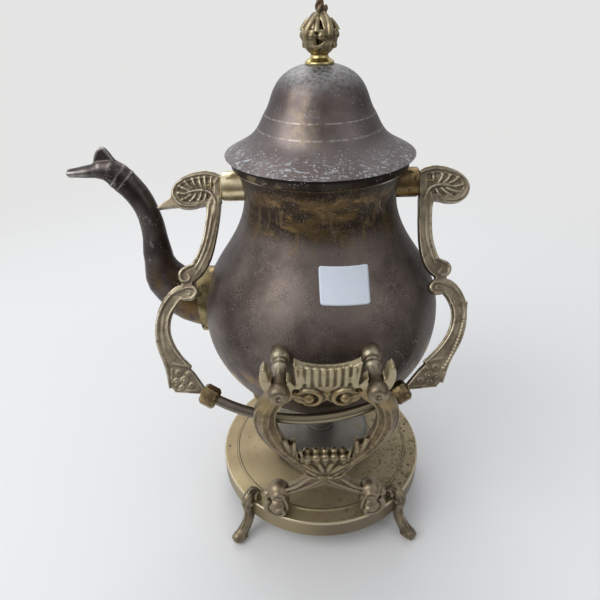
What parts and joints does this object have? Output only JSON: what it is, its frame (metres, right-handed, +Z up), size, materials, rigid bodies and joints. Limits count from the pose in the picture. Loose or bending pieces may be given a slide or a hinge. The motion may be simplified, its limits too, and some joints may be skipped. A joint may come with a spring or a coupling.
{
  "type": "spirit kettle on stand",
  "caption": "Lidded metal kettle with swan-neck spout and folding scroll bail, resting by side pins in two lyre frames on a footed dish over a spirit burner.",
  "frame": {"origin": "on the floor under the middle of the object's plan", "axes": "+Z up; spout towards -X; a lyre frame at each of -Y and +Y"},
  "size_m": [0.2606, 0.2386, 0.3765],
  "materials": {
    "dark_brass": "purple-brown tarnished brass with pale specks",
    "worn_brass": "dull olive brass, spun",
    "cast_brass": "cast brass, brown in its recesses and rubbed pale on its edges",
    "bright_brass": "rubbed bright yellow brass",
    "grey_metal": "smoke-greyed brass",
    "wick_cotton": "plaited cotton"
  },
  "bodies": {
    "stand": {"base_dish": "worn_brass", "foot_front_left": "cast_brass", "foot_front_right": "cast_brass", "foot_rear_left": "cast_brass", "foot_rear_right": "cast_brass", "foot_rivets": "bright_brass", "frame_screws": "bright_brass", "lyre_frame_front": "cast_brass", "lyre_frame_rear": "cast_brass"},
    "kettle": {"kettle_body": "dark_brass", "kettle_bottom": "dark_brass", "neck_collar": "dark_brass", "spout": "dark_brass", "spout_collar": "bright_brass", "bail_socket_left": "bright_brass", "bail_socket_right": "bright_brass", "pin_front_left": "cast_brass", "pin_front_right": "cast_brass", "pin_rear_left": "cast_brass", "pin_rear_right": "cast_brass"},
    "lid": {"lid_shell": "dark_brass", "lid_lip": "dark_brass", "finial": "cast_brass", "finial_nut": "bright_brass"},
    "bail": {"bail_arm_left": "cast_brass", "bail_arm_right": "cast_brass", "bail_block_left": "cast_brass", "bail_block_right": "cast_brass", "bail_grip": "cast_brass", "bail_pivot_left": "bright_brass", "bail_pivot_right": "bright_brass"},
    "burner": {"burner_pot": "grey_metal", "wick_tube": "bright_brass", "wick": "wick_cotton"},
    "snuffer": {"snuffer_cap": "bright_brass"}
  },
  "joints": [
    {"name": "kettle_tilt", "type": "hinge", "parent": "stand", "child": "kettle", "pos_m": [0.0055, 0, 0.192], "axis": [0, -1, 0], "range_deg": [0, 35]},
    {"name": "bail_swing", "type": "hinge", "parent": "kettle", "child": "bail", "pos_m": [0.0328, 0, 0.271], "axis": [-1, 0, 0], "range_deg": [0, 1.2]},
    {"name": "lid_lift", "type": "slide", "parent": "kettle", "child": "lid", "axis": [0, 0, 1], "range_m": [0, 0.06]},
    {"name": "burner_slide", "type": "slide", "parent": "stand", "child": "burner", "axis": [1, 0, 0], "range_m": [0, 0.15]},
    {"name": "snuffer_lift", "type": "slide", "parent": "burner", "child": "snuffer", "axis": [0, 0, 1], "range_m": [0, 0.016]}
  ]
}
